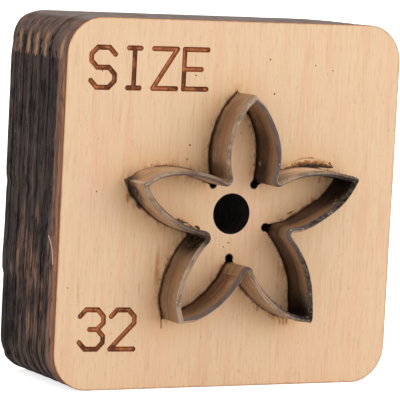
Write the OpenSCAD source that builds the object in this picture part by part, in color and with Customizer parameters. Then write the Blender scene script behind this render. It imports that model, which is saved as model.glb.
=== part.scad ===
// Steel rule die that cuts a flower: one bent strip of cutting rule in a slotted plywood board.
// The die stands on the board's lower edge, with the cutting edge towards -Y.

/* [Board] */
// Width of the board
board_w = 50; // [46:0.5:80]
// Height of the board
board_h = 49; // [46:0.5:80]
// Thickness of the board
board_t = 18; // [12:0.5:20]
// Radius of the board's corners
corner_r = 5; // [2:0.5:10]
// Number of plies in the board
ply_count = 13; // [5:2:17]
// How far every second ply is burnt back on the sides
ply_burn = 0.15; // [0.05:0.05:0.4]

/* [Hole] */
// Diameter of the hole through the board
hole_d = 5.5; // [3:0.1:6.5]
// Height of the hole's centre above the flower's centre
hole_rise = 0.5; // [-1:0.1:1]

/* [Flower] */
// Number of petals
petals = 5; // [5:1:7]
// Distance from the flower's centre to the point of a petal
tip_r = 16.75; // [15:0.05:18]
// Width of a petal where it is widest
petal_w = 7.25; // [6.8:0.05:8.2]
// Radius of a petal's walls
wall_r = 13.1; // [12:0.1:18]
// Shift of the flower's centre to the right of the board's centre
flower_x = 0.15; // [-3:0.05:3]
// Height of the flower's centre above the board's centre
flower_y = -1.7; // [-3:0.05:3]

/* [Rule] */
// Height of the rule from its back to its cutting edge
rule_h = 23.8; // [22:0.1:25]
// Thickness of the rule
rule_t = 0.71; // [0.5:0.01:1]
// Angle between the two bevels
bevel_angle = 54; // [42:1:60]
// Width of the land along the cutting edge
edge_land = 0.04; // [0.02:0.01:0.1]
// Inside radius of the bend between two petals
notch_bend_r = 0.25; // [0.05:0.05:0.5]
// Share of its thickness that the rule loses where it is bent between two petals
bend_thinning = 0.06; // [0.04:0.01:0.12]
// Distance of the butt joint from the bend beside it
joint_l = 1; // [0.5:0.1:4]
// Gap between the rule's two ends
joint_gap = 0.06; // [0.02:0.02:0.2]

/* [Fit] */
// Clearance between the rule and each side of its slot
slot_clearance = 0.02; // [0.01:0.01:0.1]
// Diameter of the burnt round at the slot's points
point_burn = 0.2; // [0.1:0.05:0.5]
// How much wider the laser burns the slot at its corners between the petals
notch_burn = 0.25; // [0.05:0.05:0.4]
// Length of each bridge of wood across the slot
bridge_l = 5; // [3:0.5:7]
// Clearance between a bridge and the notch in the rule
bridge_clearance = 0.1; // [0.05:0.05:0.3]

/* [Hidden] */
$fn = 96;
// Cuts run this far past the faces that they leave through
over = 1;
// Angle by which each bend runs on into the walls that it joins
bend_lap = 2;
// Distance by which each wall runs on past the fold at the point of a petal
fold_lap = 0.02;

// Plies and slot
ply_t = board_t / ply_count;
slot_w = rule_t + 2 * slot_clearance;

// Petals stand along +Y, with the centre of the wall at +X on the far side of the axis
petal_turn = 360 / petals;
wall_x = petal_w / 2 - wall_r;
wall_y = tip_r - sqrt(wall_r ^ 2 - wall_x ^ 2);
wall_c = [wall_x, wall_y];
notch_dir = [sin(petal_turn / 2), cos(petal_turn / 2)];

// Distance along the line between two petals at which the wall, moved outwards, reaches it
function notch_reach(out) =
    let (along = notch_dir * wall_c)
    along + sqrt(along ^ 2 - wall_c * wall_c + (wall_r + out) ^ 2);

// Height on a petal's axis at which the wall, moved outwards, reaches it
function tip_reach(out) = wall_y + sqrt((wall_r + out) ^ 2 - wall_x ^ 2);

// Angle of a point as seen from the centre of the wall
function wall_angle(point) = atan2(point[1] - wall_y, point[0] - wall_x);

// Arc length on the wall's middle line as an angle
function wall_turn(length) = length / wall_r * 180 / PI;

// Bends of the rule between petals, each tangent to both walls that it joins
notch_bend_mid = notch_bend_r + rule_t / 2;
notch_bend_c = notch_reach(notch_bend_mid) * notch_dir;
wall_start = wall_angle(notch_bend_c);
bevel_h = (rule_t - edge_land) / 2 / tan(bevel_angle / 2);

// Where the middle lines of two walls cross at the point and between the petals
tip_corner = [0, tip_reach(0)];
notch_corner = notch_reach(0) * notch_dir;

// Bridges sit halfway along the wall at +X, and the joint is in the wall at -X of this petal
bridge_mid = (wall_start + wall_angle(tip_corner)) / 2;
joint_petal = 2;

// Stands the die up from the way it is drawn: back face on the XY plane, cutting edge at the top
module standing() translate([0, rule_h / 2, board_h / 2]) rotate([90, 0, 0]) children();

// Moves from the board's centre to the flower's centre
module at_flower() translate([flower_x, flower_y, 0]) children();

// Repeats a petal's shape round the flower's centre
module each_petal() for (i = [0 : petals - 1]) rotate(i * petal_turn) children();

// Flat plate with rounded corners
module rounded_plate(w, h, r, t) linear_extrude(t) {
    square([w - 2 * r, h], center = true);
    square([w, h - 2 * r], center = true);
    for (x = [-1, 1], y = [-1, 1]) translate([x * (w / 2 - r), y * (h / 2 - r)]) circle(r);
}

// Curved band about the origin, with its middle line at radius r
module band(r, w, from, to, z, h) translate([0, 0, z]) rotate(from)
    rotate_extrude(angle = to - from) translate([r - w / 2, 0]) square([w, h]);

// Section of the rule about its own middle line, thinned by a share of its thickness
module rule_section(thinning) {
    side = (1 - thinning) * rule_t / 2;
    land = (1 - thinning) * edge_land / 2;
    polygon([
        [-side, 0],
        [side, 0],
        [side, rule_h - bevel_h],
        [land, rule_h],
        [-land, rule_h],
        [-side, rule_h - bevel_h],
    ]);
}

// Stretch of rule bent about the origin to radius r
module bent_rule(r, from, to, thinning = 0)
    rotate(from) rotate_extrude(angle = to - from) translate([r, 0]) rule_section(thinning);

// Tight bend of the rule about the origin, which laps into the walls on both sides
module tight_bend(r, from, to) bent_rule(r, from - bend_lap, to + bend_lap, bend_thinning);

// Ends the wall at +X just past the petal's axis, where it is folded over to the other wall
module folded(lap) intersection() {
    children();
    translate([-lap, 0, -2 * over]) cube([petal_w, tip_r + 2 * over, rule_h + 4 * over]);
}

// Angle to which a wall of width w runs, so that all of it crosses the petal's axis
function past_fold(w) = wall_angle([0, tip_reach(w / 2)]) + wall_turn(over);

// One petal of rule: its two walls, folded at the point, and the bend to the next petal
module rule_petal() {
    for (side = [0, 1]) mirror([side, 0, 0])
        folded(fold_lap) translate(wall_c) bent_rule(wall_r, wall_start, past_fold(rule_t));
    translate(notch_bend_c) tight_bend(notch_bend_mid, wall_start + 180, 360 - petal_turn - wall_start);
}

// Space beside one petal's bridge that is cut out of the rule or left out of the slot
module bridge_span(length, z, h) translate(wall_c) {
    turn = wall_turn(length / 2);
    band(wall_r, slot_w + 2 * over, bridge_mid - turn, bridge_mid + turn, z, h);
}

// Gap between the two ends of the rule
module joint_cut() rotate(joint_petal * petal_turn) mirror([1, 0, 0]) translate(wall_c) {
    start = wall_start + wall_turn(joint_l);
    band(wall_r, rule_t + over, start, start + wall_turn(joint_gap), -over, rule_h + 2 * over);
}

// Slot for one petal, widened where the laser turns, with room for the rule's bend
module slot_petal() translate([0, 0, -over]) {
    depth = board_t + 2 * over;
    for (side = [0, 1]) mirror([side, 0, 0]) difference() {
        folded(fold_lap + slot_clearance) translate(wall_c)
            band(wall_r, slot_w, wall_angle(notch_corner), past_fold(slot_w), 0, depth);
        if (side == 0) bridge_span(bridge_l, -over, depth + 2 * over);
    }
    translate([0, tip_reach(slot_w / 2)]) cylinder(d = point_burn, h = depth);
    translate(notch_corner) cylinder(d = slot_w + notch_burn, h = depth);
    outer_notch = notch_reach(slot_w / 2) * notch_dir;
    translate(outer_notch) cylinder(r = norm(outer_notch - notch_bend_c), h = depth);
}

// Plywood board with the hole and the slot through it
module die_board() color("burlywood") standing() difference() {
    union() {
        rounded_plate(board_w - 2 * ply_burn, board_h - 2 * ply_burn, corner_r - ply_burn, board_t);
        for (i = [0 : 2 : ply_count - 1])
            translate([0, 0, i * ply_t]) rounded_plate(board_w, board_h, corner_r, ply_t);
    }
    at_flower() {
        translate([0, hole_rise, -over]) cylinder(d = hole_d, h = board_t + 2 * over);
        each_petal() slot_petal();
    }
}

// Bent strip of cutting rule, with its back flush with the back of the board
module cutting_rule() color("dimgray") standing() at_flower() difference() {
    each_petal() rule_petal();
    each_petal() bridge_span(bridge_l + 2 * bridge_clearance, -over, over + board_t + bridge_clearance);
    joint_cut();
}

die_board();
cutting_rule();
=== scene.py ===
"""Dresses a steel rule die: a laser-cut plywood board with a flower of cutting rule standing in its slot.

Shapes are drawn flat and in millimetres, as a die maker draws them: the board's back lies on the XY plane,
its centre is the origin and the cutting edge is at the top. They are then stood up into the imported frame.
"""

import logging
import math
from collections.abc import Iterable, Sequence
from dataclasses import dataclass
from enum import Enum, IntEnum

import bmesh
import bpy
from mathutils import Matrix, Vector, noise


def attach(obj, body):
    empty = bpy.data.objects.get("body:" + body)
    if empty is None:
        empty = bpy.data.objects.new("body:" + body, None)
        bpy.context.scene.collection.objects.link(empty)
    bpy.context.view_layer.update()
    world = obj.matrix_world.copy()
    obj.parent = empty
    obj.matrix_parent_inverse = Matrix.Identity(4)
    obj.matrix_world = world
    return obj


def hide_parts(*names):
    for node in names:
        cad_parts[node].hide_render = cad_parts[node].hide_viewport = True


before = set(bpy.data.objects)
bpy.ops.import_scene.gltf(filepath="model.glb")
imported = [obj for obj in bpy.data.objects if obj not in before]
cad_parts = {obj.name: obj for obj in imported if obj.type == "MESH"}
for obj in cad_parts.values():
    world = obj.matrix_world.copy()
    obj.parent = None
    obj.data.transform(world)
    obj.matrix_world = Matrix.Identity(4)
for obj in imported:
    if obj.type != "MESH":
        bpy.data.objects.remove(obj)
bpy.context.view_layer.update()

log = logging.getLogger("steel_rule_die")

BMesh = bmesh.types.BMesh
Vert = bmesh.types.BMVert
Edge = bmesh.types.BMEdge
Face = bmesh.types.BMFace
Geometry = Sequence[Vert | Edge | Face]
Material = bpy.types.Material
Socket = bpy.types.NodeSocket
Point = tuple[float, float]
Triple = tuple[float, float, float]
Colour = Triple
Value = float | Socket
Feed = Value | Triple | None
Strays = tuple[tuple[Point, Point, float], ...]

BOARD_T = 18.0
BOARD_H = 49.0
RULE_H = 23.8
MM = 0.001
FACE_Y = RULE_H / 2 - BOARD_T
STAND_UP = (
    Matrix.Scale(MM, 4)
    @ Matrix.Translation((0, RULE_H / 2, BOARD_H / 2))
    @ Matrix.Rotation(math.pi / 2, 4, "X")
)
MIRROR = Matrix.Scale(-1, 4, (1, 0, 0))
# Cuts run this far past the faces that they leave through
OVER = 1.0
# Points of a cut drawing that lie closer than this are one
MERGE = 1e-4


def paint(red: int, green: int, blue: int) -> Colour:
    """Turns a colour as seen on screen, 0 to 255, into the linear values that a shader takes."""
    parts = (red / 255, green / 255, blue / 255)
    return tuple(c / 12.92 if c <= 0.04045 else ((c + 0.055) / 1.055) ** 2.4 for c in parts)


def hump(value: float, middle: float, half: float) -> float:
    """Gives a smooth hump that is 1 at its middle."""
    return math.exp(-(((value - middle) / half) ** 2))


def share(value: float, start: float, end: float) -> float:
    """Tells what share of the way from start to end a value has gone, from 0 to 1."""
    return max(0.0, min(1.0, (value - start) / (end - start)))


def spoke(angle: float) -> Vector:
    """Gives the flat direction at an angle."""
    return Vector((math.cos(angle), math.sin(angle)))


def whole(bm: BMesh) -> Geometry:
    """Lists everything in a drawing."""
    return [*bm.verts, *bm.edges, *bm.faces]


def moved(bm: BMesh, matrix: Matrix) -> BMesh:
    """Moves a whole drawing."""
    bmesh.ops.transform(bm, matrix=matrix, verts=bm.verts)
    return bm


def indexed(bm: BMesh, part: IntEnum) -> BMesh:
    """Gives every face of a drawing one material index.

    Args:
        bm: The drawing.
        part: The kind of surface.

    Returns:
        The drawing.
    """
    for face in bm.faces:
        face.material_index = part
    return bm


def sweep(
    bm: BMesh, geom: Geometry, centre: Vector, angle: float, steps: int, axis: Triple = (0, 0, 1)
) -> Geometry:
    """Spins part of a drawing by less than a full turn.

    Args:
        bm: The drawing.
        geom: What is spun.
        centre: Place of the axis.
        angle: The turn.
        steps: Number of steps in it.
        axis: Direction of the axis.

    Returns:
        What is at the end of the turn.
    """
    made = bmesh.ops.spin(bm, geom=geom, cent=centre.to_3d(), axis=axis, angle=angle, steps=steps,
                          use_merge=False, use_duplicate=False)
    return made["geom_last"]


def to_mesh(name: str, bm: BMesh) -> bpy.types.Mesh:
    """Turns a drawing into a mesh.

    Args:
        name: Name of the mesh.
        bm: The drawing. It is freed.

    Returns:
        The mesh.
    """
    mesh = bpy.data.meshes.new(name)
    bm.to_mesh(mesh)
    bm.free()
    return mesh


def add_object(name: str, data: bpy.types.ID) -> bpy.types.Object:
    """Puts a new object in the scene.

    Args:
        name: Name of the object.
        data: Its mesh, lamp or camera.

    Returns:
        The object.
    """
    thing = bpy.data.objects.new(name, data)
    bpy.context.scene.collection.objects.link(thing)
    return thing


def finish_mesh(name: str, bm: BMesh, materials: Sequence[Material], sharp: float = 32.0) -> bpy.types.Object:
    """Stands a flat drawing up, and makes it a shaded object at the origin.

    Args:
        name: Name of the new object.
        bm: The drawing, in flat millimetres. It is freed.
        materials: Materials in the order of the faces' indices.
        sharp: Edges that turn by more than this many degrees stay sharp.

    Returns:
        The new object, linked to the scene.
    """
    mesh = to_mesh(name, moved(bm, STAND_UP))
    for material in materials:
        mesh.materials.append(material)
    mesh.shade_smooth()
    mesh.set_sharp_from_angle(angle=math.radians(sharp))
    return add_object(name, mesh)


def carve(body: BMesh, cutters: Sequence[BMesh]) -> BMesh:
    """Cuts shapes out of a drawing, and keeps the cutters' material indices on the walls of the cuts.

    Args:
        body: What is cut. It is freed.
        cutters: Closed shapes that may overlap each other. They are freed.

    Returns:
        The cut drawing.
    """
    bench = bpy.data.collections.new("cutters")
    bpy.context.scene.collection.children.link(bench)
    objects = []
    for number, bm in enumerate((body, *cutters)):
        bmesh.ops.recalc_face_normals(bm, faces=bm.faces)
        mesh = to_mesh("blank", bm)
        for _ in BoardPart:
            mesh.materials.append(None)
        thing = bpy.data.objects.new("blank", mesh)
        (bench if number else bpy.context.scene.collection).objects.link(thing)
        objects.append(thing)
    cut = objects[0].modifiers.new("cut", "BOOLEAN")
    cut.operation = "DIFFERENCE"
    cut.solver = "MANIFOLD"
    cut.operand_type = "COLLECTION"
    cut.collection = bench
    bpy.context.view_layer.update()
    result = bmesh.new()
    result.from_object(objects[0], bpy.context.evaluated_depsgraph_get())
    for thing in objects:
        mesh = thing.data
        bpy.data.objects.remove(thing)
        bpy.data.meshes.remove(mesh)
    bpy.data.collections.remove(bench)
    bmesh.ops.remove_doubles(result, verts=result.verts, dist=MERGE)
    bmesh.ops.dissolve_degenerate(result, dist=MERGE, edges=result.edges)
    return result


class BoardPart(IntEnum):
    """Kinds of surface on the board, in the order of its materials."""

    FACE = 0
    SIDE = 1
    MARK = 2
    CHAR = 3


class RulePart(IntEnum):
    """Kinds of surface on the rule, in the order of its materials."""

    WALL = 0
    BEVEL = 1


class NodeSheet:
    """Node tree of one finish. Its colour is built up coat by coat from the first one."""

    def __init__(self, name: str) -> None:
        """Starts an empty tree whose coordinates are the piece's own, in millimetres.

        Args:
            name: Name of the material.
        """
        self.material = bpy.data.materials.new(name)
        self.material.use_nodes = True
        self.tree = self.material.node_tree
        self.tree.nodes.clear()
        self.colour: Socket | Colour = (1.0, 1.0, 1.0)
        self.mm = self.vector("SCALE", self.add("TexCoord", {})["Object"], scale=1 / MM)

    def add(self, kind: str, feeds: dict[int | str, Feed], **options: str) -> bpy.types.bpy_prop_collection:
        """Adds a node.

        Args:
            kind: Blender's name for the node, without its prefix.
            feeds: What each input gets: an output, a number or a colour. None leaves it as it is.
            **options: The node's own settings.

        Returns:
            The node's outputs.
        """
        node = self.tree.nodes.new("ShaderNode" + kind)
        for name, option in options.items():
            setattr(node, name, option)
        for key, value in feeds.items():
            socket = node.inputs[key]
            if isinstance(value, Socket):
                self.tree.links.new(value, socket)
            elif value is not None:
                socket.default_value = (*value, 1.0) if socket.type == "RGBA" else value
        return node.outputs

    def vector(self, operation: str, a: Feed, b: Feed = None, c: Feed = None, scale: Feed = None) -> Socket:
        """Adds a vector math node, and returns its vector or, for LENGTH, its number."""
        outputs = self.add("VectorMath", {0: a, 1: b, 2: c, 3: scale}, operation=operation)
        return outputs[1 if operation == "LENGTH" else 0]

    def math(self, operation: str, *values: Value) -> Socket:
        """Adds a math node, and returns its number."""
        return self.add("Math", dict(enumerate(values)), operation=operation)[0]

    def times(self, product: Value, *others: Value) -> Value:
        """Multiplies numbers.

        Args:
            product: The first number.
            *others: What it is multiplied by.

        Returns:
            The product of them all.
        """
        for other in others:
            product = self.math("MULTIPLY", product, other)
        return product

    def minus(self, a: Value, b: Value) -> Socket:
        """Takes one number from another."""
        return self.math("SUBTRACT", a, b)

    def apart(self, a: Value, b: Value) -> Socket:
        """Tells how far apart two numbers are."""
        return self.math("ABSOLUTE", self.minus(a, b))

    def more(self, value: Value, by: Socket, gain: float) -> Socket:
        """Adds a share of one number to another."""
        return self.math("MULTIPLY_ADD", by, gain, value)

    def fray(self, value: Value, by: Socket, reach: float) -> Socket:
        """Makes a number waver to both sides by a noise."""
        return self.more(value, self.minus(by, 0.5), reach)

    def axes(self, vector: Socket) -> tuple[Socket, Socket, Socket]:
        """Splits a vector into its three numbers."""
        return tuple(self.add("SeparateXYZ", {0: vector}))

    def join(self, x: Value, y: Value, z: Value = 0.0) -> Socket:
        """Makes a vector of three numbers."""
        return self.add("CombineXYZ", {0: x, 1: y, 2: z})[0]

    def attribute(self, name: str) -> Socket:
        """Reads a number that the piece's mesh carries."""
        return self.add("Attribute", {}, attribute_name=name)["Fac"]

    def noise(self, vector: Socket, stretch: Triple, detail: float, rough: float, shift: float) -> Socket:
        """Adds a noise whose grain is set per axis.

        Args:
            vector: Where the noise is read.
            stretch: Cycles per millimetre along each axis.
            detail: Number of finer layers.
            rough: Weight of the finer layers.
            shift: Moves the pattern, so that two noises differ.

        Returns:
            Numbers round one half.
        """
        place = self.vector("MULTIPLY_ADD", vector, stretch, (shift, shift * 1.7, shift * 0.6))
        return self.add("TexNoise", {"Vector": place, "Scale": 1.0, "Detail": detail, "Roughness": rough})[0]

    def step(self, value: Value, start: float, end: float, high: float = 1.0, low: float = 0.0) -> Socket:
        """Goes smoothly from low to high while the value goes from start to end."""
        feeds = {"Value": value, "From Min": start, "From Max": end, "To Min": low, "To Max": high}
        return self.add("MapRange", feeds, interpolation_type="SMOOTHSTEP")[0]

    def ramp(self, value: Value, stops: Sequence[tuple[float, Colour]], steps: str = "LINEAR") -> Socket:
        """Adds a colour ramp.

        Args:
            value: Where the ramp is read, from 0 to 1.
            stops: Places and colours along it.
            steps: How it goes from one stop to the next.

        Returns:
            The colour.
        """
        colour = self.add("ValToRGB", {0: value})[0]
        ramp = colour.node.color_ramp
        ramp.interpolation = steps
        while len(ramp.elements) < len(stops):
            ramp.elements.new(1.0)
        for element, (place, tint) in zip(ramp.elements, stops):
            element.position = place
            element.color = (*tint, 1.0)
        return colour

    def blend(self, factor: Value, a: Socket | Colour, b: Socket | Colour, mode: str = "MIX") -> Socket:
        """Mixes two colours by a factor."""
        return self.add("Mix", {0: factor, 6: a, 7: b}, data_type="RGBA", blend_type=mode)[2]

    def lay(self, tint: Socket | Colour, *factors: Value, mode: str = "MIX") -> None:
        """Lays a coat over the colour, as far as all the factors together let it cover."""
        self.colour = self.blend(self.times(*factors), self.colour, tint, mode)

    def shade(self, level: Socket) -> None:
        """Makes the colour darker or lighter by a factor."""
        self.lay(self.join(level, level, level), 1.0, mode="MULTIPLY")

    def spot(self, plane: Socket, at: Point, radii: Point, soft: float = 0.35, turn: float = 0.0) -> Socket:
        """Marks an ellipse.

        Args:
            plane: Coordinates that the ellipse lies in, as X and Z.
            at: Its centre.
            radii: Its half sizes.
            soft: Share of the radius over which it fades.
            turn: Its turn in the plane, in degrees.

        Returns:
            1 inside the ellipse and 0 outside.
        """
        feeds = {
            "Vector": plane,
            "Location": (at[0], 0.0, at[1]),
            "Rotation": (0.0, math.radians(turn), 0.0),
            "Scale": (radii[0], 1.0, radii[1]),
        }
        inside = self.add("Mapping", feeds, vector_type="TEXTURE")[0]
        return self.step(self.vector("LENGTH", inside), 1.0, 1.0 - soft)

    def close(
        self, rough: Value, specular: float, relief: Socket, depth: float, metallic: float = 0.0
    ) -> Material:
        """Adds the shader and its output.

        Args:
            rough: Roughness of the surface.
            specular: Level of the plain reflection.
            relief: Height of the surface.
            depth: Depth of the relief, in millimetres.
            metallic: Share of metal.

        Returns:
            The finished material.
        """
        feeds = {
            "Base Color": self.colour,
            "Roughness": rough,
            "Metallic": metallic,
            "Specular IOR Level": specular,
            "Normal": self.add("Bump", {"Height": relief, "Distance": depth * MM, "Strength": 1.0})[0],
        }
        self.add("OutputMaterial", {"Surface": self.add("BsdfPrincipled", feeds)[0]})
        return self.material


@dataclass(frozen=True)
class FlowerLine:
    """Middle line of the flower: two curved walls to a petal, folded at each point and bent at each notch."""

    petals: int = 5
    tip_r: float = 16.75
    petal_w: float = 7.25
    wall_r: float = 13.1
    centre: Point = (0.15, -1.7)
    rule_t: float = 0.71
    notch_bend_r: float = 0.25
    # Length of one step of a band, and the least number of steps
    band_step: float = 0.4
    band_least: int = 4
    # Where the hand-bent strip strays from the drawing: place, shift and reach in millimetres
    strays: Strays = (
        ((6.1, -3.6), (0.05, 0.4), 2.4),
        ((-3.5, 3.5), (0.35, 0.05), 2.2),
        ((11.0, -0.6), (-0.2, 0.72), 3.0),
        ((4.0, 8.0), (0.06, 0.0), 3.5),
        ((9.6, -12.8), (-0.25, 0.05), 2.2),
        ((0.15, 15.05), (-0.08, -0.45), 1.6),
        ((-15.78, 3.48), (0.4, -0.38), 1.7),
        ((-9.7, -15.25), (0.5, 0.55), 1.9),
        ((10.0, -15.25), (0.12, 0.3), 1.6),
        ((16.08, 3.48), (0.1, 0.28), 1.6),
    )

    @property
    def turn(self) -> float:
        """Angle from one petal to the next."""
        return math.tau / self.petals

    @property
    def wall_c(self) -> Vector:
        """Centre of the wall at +X of the petal that stands along +Y."""
        x = self.petal_w / 2 - self.wall_r
        return Vector((x, self.tip_r - math.sqrt(self.wall_r**2 - x**2)))

    @property
    def notch_dir(self) -> Vector:
        """Direction of the notch beside that wall."""
        return Vector((math.sin(self.turn / 2), math.cos(self.turn / 2)))

    def notch_reach(self, out: float) -> float:
        """Distance along the notch's direction at which the wall, moved outwards, reaches it."""
        along = self.notch_dir.dot(self.wall_c)
        return along + math.sqrt(along**2 - self.wall_c.length_squared + (self.wall_r + out) ** 2)

    def tip_reach(self, out: float) -> float:
        """Height on the petal's axis at which the wall, moved outwards, reaches it."""
        return self.wall_c.y + math.sqrt((self.wall_r + out) ** 2 - self.wall_c.x**2)

    def wall_angle(self, point: Vector) -> float:
        """Angle of a point as seen from the centre of the wall."""
        return math.atan2(point.y - self.wall_c.y, point.x - self.wall_c.x)

    @property
    def notch_mid(self) -> float:
        """Radius of the middle line at a notch."""
        return self.notch_bend_r + self.rule_t / 2

    @property
    def notch_c(self) -> Vector:
        """Centre of the bend at the notch."""
        return self.notch_dir * self.notch_reach(self.notch_mid)

    @property
    def wall_start(self) -> float:
        """Angle at which the wall leaves the notch's bend."""
        return self.wall_angle(self.notch_c)

    @property
    def wall_end(self) -> float:
        """Angle at which the wall's middle line reaches the point."""
        return self.wall_angle(Vector((0.0, self.tip_reach(0.0))))

    def past_fold(self, half: float) -> float:
        """Angle to which a wall of this half width runs, so that all of it crosses the petal's axis."""
        return self.wall_angle(Vector((0.0, self.tip_reach(half)))) + OVER / self.wall_r

    @property
    def half_bend(self) -> float:
        """Angle of half the bend at a notch."""
        return (math.pi - self.turn) / 2 - self.wall_start

    @property
    def bridge_mid(self) -> float:
        """Angle of the middle of the bridge."""
        return (self.wall_start + self.wall_end) / 2

    @property
    def half_petal(self) -> float:
        """Length of the middle line from the middle of a notch to a point."""
        return self.notch_mid * self.half_bend + self.wall_r * (self.wall_end - self.wall_start)

    def run_at(self, co: Vector) -> Point:
        """Finds a point's place on the strip.

        Args:
            co: Point in the flat drawing.

        Returns:
            Millimetres round the flower, and millimetres outwards from the middle line.
        """
        local = Vector((co.x - self.centre[0], co.y - self.centre[1]))
        petal = round(math.atan2(local.x, local.y) / self.turn)
        local.rotate(Matrix.Rotation(petal * self.turn, 2))
        spot = Vector((abs(local.x), local.y))
        angle = self.wall_angle(spot)
        if angle > self.wall_start:
            walked = self.notch_mid * self.half_bend + self.wall_r * (angle - self.wall_start)
            out = (spot - self.wall_c).length - self.wall_r
        else:
            bend = spot - self.notch_c
            walked = self.notch_mid * bend.angle(-self.notch_dir)
            out = self.notch_mid - bend.length
        from_point = math.copysign(self.half_petal - walked, local.x)
        return (2 * petal + 1) * self.half_petal + from_point, out

    @staticmethod
    def drift(spot: Vector, strays: Strays) -> Vector:
        """Adds up the shifts that reach a spot.

        Args:
            spot: Place in the flat drawing.
            strays: Places, shifts and reaches.

        Returns:
            The whole shift.
        """
        move = Vector((0.0, 0.0))
        for place, shift, reach in strays:
            move += Vector(shift) * hump((spot - Vector(place)).length, 0.0, reach)
        return move

    def stray(self, verts: Iterable[Vert]) -> None:
        """Moves points as the hand-bent strip strays."""
        for vert in verts:
            vert.co.xy += self.drift(vert.co.xy, self.strays)

    def band(self, half: float, low: float, high: float, start: float, end: float) -> BMesh:
        """Spins a plain section about the centre of a wall.

        Args:
            half: Half the width of the band.
            low: Height of its lower side.
            high: Height of its upper side.
            start: Angle where it starts.
            end: Angle where it ends.

        Returns:
            The closed band.
        """
        bm = bmesh.new()
        corners = ((-half, low), (half, low), (half, high), (-half, high))
        way = spoke(start)
        ring = [bm.verts.new((*(self.wall_c + way * (self.wall_r + out)), z)) for out, z in corners]
        face = bm.faces.new(ring)
        steps = max(self.band_least, round((end - start) * self.wall_r / self.band_step))
        sweep(bm, [face, *face.edges, *ring], self.wall_c, end - start, steps)
        return bm

    @staticmethod
    def fold(bm: BMesh, at: float, snap: float = 1e-5) -> list[Edge]:
        """Cuts what is drawn for the wall at +X off near the petal's axis.

        Args:
            bm: The drawing.
            at: Where it ends, to the right of the axis.
            snap: Points that lie this close to the cut are on it.

        Returns:
            The edges of the open end.
        """
        end = bmesh.ops.bisect_plane(bm, geom=whole(bm), dist=snap, plane_co=(at, 0.0, 0.0),
                                     plane_no=(-1.0, 0.0, 0.0), clear_outer=True)
        return [part for part in end["geom_cut"] if isinstance(part, Edge)]

    def petal_matrix(self, index: int, mirrored: bool = False) -> Matrix:
        """Places what is drawn for the petal along +Y on another petal."""
        turn = Matrix.Translation((*self.centre, 0)) @ Matrix.Rotation(index * self.turn, 4, "Z")
        return turn @ MIRROR if mirrored else turn


@dataclass(frozen=True)
class Scorch:
    """A scorched or bruised place on the face: an ellipse in flat millimetres."""

    x: float
    y: float
    wide: float
    high: float
    turn: float
    strength: float

    def spot(self, sheet: NodeSheet, flat: Socket, soft: float) -> Socket:
        """Marks the place on the standing board, with an edge that fades over a share of its size."""
        return sheet.spot(flat, (self.x, self.y + BOARD_H / 2), (self.wide, self.high), soft, self.turn)


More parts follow.
